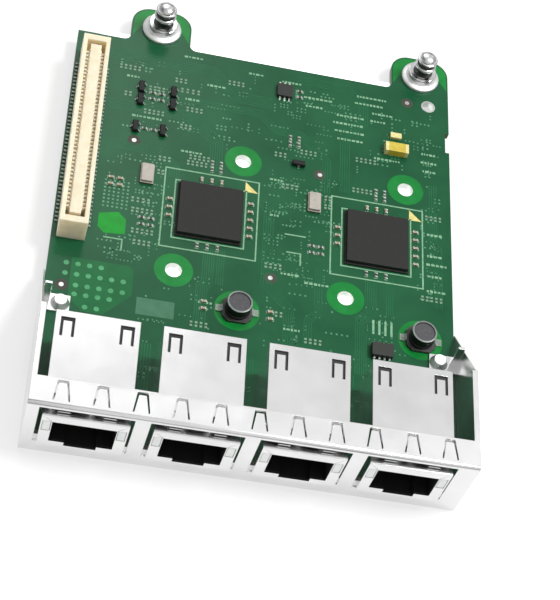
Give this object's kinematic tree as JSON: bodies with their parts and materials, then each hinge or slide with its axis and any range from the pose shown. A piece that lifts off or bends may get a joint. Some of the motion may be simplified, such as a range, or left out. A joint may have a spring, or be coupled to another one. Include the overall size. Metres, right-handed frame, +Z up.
{
  "type": "mezzanine network card",
  "caption": "Green circuit board with a row of shielded port sockets behind a folded face bracket, square controller chips, a board-to-board connector and floating captive screws on rear ears.",
  "frame": {"origin": "middle of the card's plan box, on the surface that it rests on component side up", "axes": "+X along the row of sockets, +Y from the face bracket to the screw ears, +Z up"},
  "size_m": [0.0848, 0.1128, 0.0167],
  "materials": {
    "board_green": "green solder mask over glass-fibre laminate",
    "nickel_sheet": "bright nickel-plated spring sheet",
    "black_plastic": "moulded black plastic",
    "chip_grey": "moulded dark grey package",
    "cream_plastic": "moulded cream plastic",
    "gold_contact": "gold-plated contact metal",
    "steel": "bright turned steel",
    "white_lens": "milky clear plastic",
    "ceramic_tan": "fired ceramic",
    "resistor_black": "glazed thick film",
    "tantalum_yellow": "moulded yellow resin",
    "tin": "tinned metal and solder",
    "crystal_lid": "welded metal lid",
    "ferrite": "dark sintered ferrite"
  },
  "bodies": {
    "card": {"bracket_rivets": "steel", "ceramic_capacitors": "ceramic_tan", "chip_resistors": "resistor_black", "circuit_board": "board_green", "connector_contacts": "gold_contact", "connector_housing": "cream_plastic", "controller_chip_left": "chip_grey", "controller_chip_right": "chip_grey", "crystal_left": "crystal_lid", "crystal_right": "crystal_lid", "face_bracket": "nickel_sheet", "ferrite_bead": "ferrite", "inductor_base_left": "black_plastic", "inductor_base_right": "black_plastic", "inductor_core_left": "ferrite", "inductor_core_right": "ferrite", "inductor_terminals_left": "tin", "inductor_terminals_right": "tin", "lamp_lenses": "white_lens", "memory_chip": "black_plastic", "memory_leads": "tin", "regulator_chip": "chip_grey", "regulator_leads": "tin", "screw_bushing_left": "steel", "screw_bushing_right": "steel", "small_transistors": "black_plastic", "socket_contacts_1": "gold_contact", "socket_contacts_2": "gold_contact", "socket_contacts_3": "gold_contact", "socket_contacts_4": "gold_contact", "socket_housing_1": "black_plastic", "socket_housing_2": "black_plastic", "socket_housing_3": "black_plastic", "socket_housing_4": "black_plastic", "socket_shield_1": "nickel_sheet", "socket_shield_2": "nickel_sheet", "socket_shield_3": "nickel_sheet", "socket_shield_4": "nickel_sheet", "solder_joints": "tin", "tantalum_body": "tantalum_yellow", "tantalum_ends": "tin", "underside_capacitors": "ceramic_tan"},
    "ring_left": {"retaining_ring_left": "steel"},
    "screw_left": {"captive_screw_left": "steel"},
    "ring_right": {"retaining_ring_right": "steel"},
    "screw_right": {"captive_screw_right": "steel"}
  },
  "joints": [
    {"name": "screw_float_left", "type": "slide", "parent": "card", "child": "ring_left", "axis": [0, 0, 1], "range_m": [-0.0006, 0]},
    {"name": "screw_turn_left", "type": "hinge", "parent": "ring_left", "child": "screw_left", "pos_m": [-0.02385, 0.05075, 0.005], "axis": [0, 0, 1], "continuous": true},
    {"name": "screw_float_right", "type": "slide", "parent": "card", "child": "ring_right", "axis": [0, 0, 1], "range_m": [-0.0006, 0]},
    {"name": "screw_turn_right", "type": "hinge", "parent": "ring_right", "child": "screw_right", "pos_m": [0.0352, 0.05075, 0.005], "axis": [0, 0, 1], "continuous": true}
  ]
}
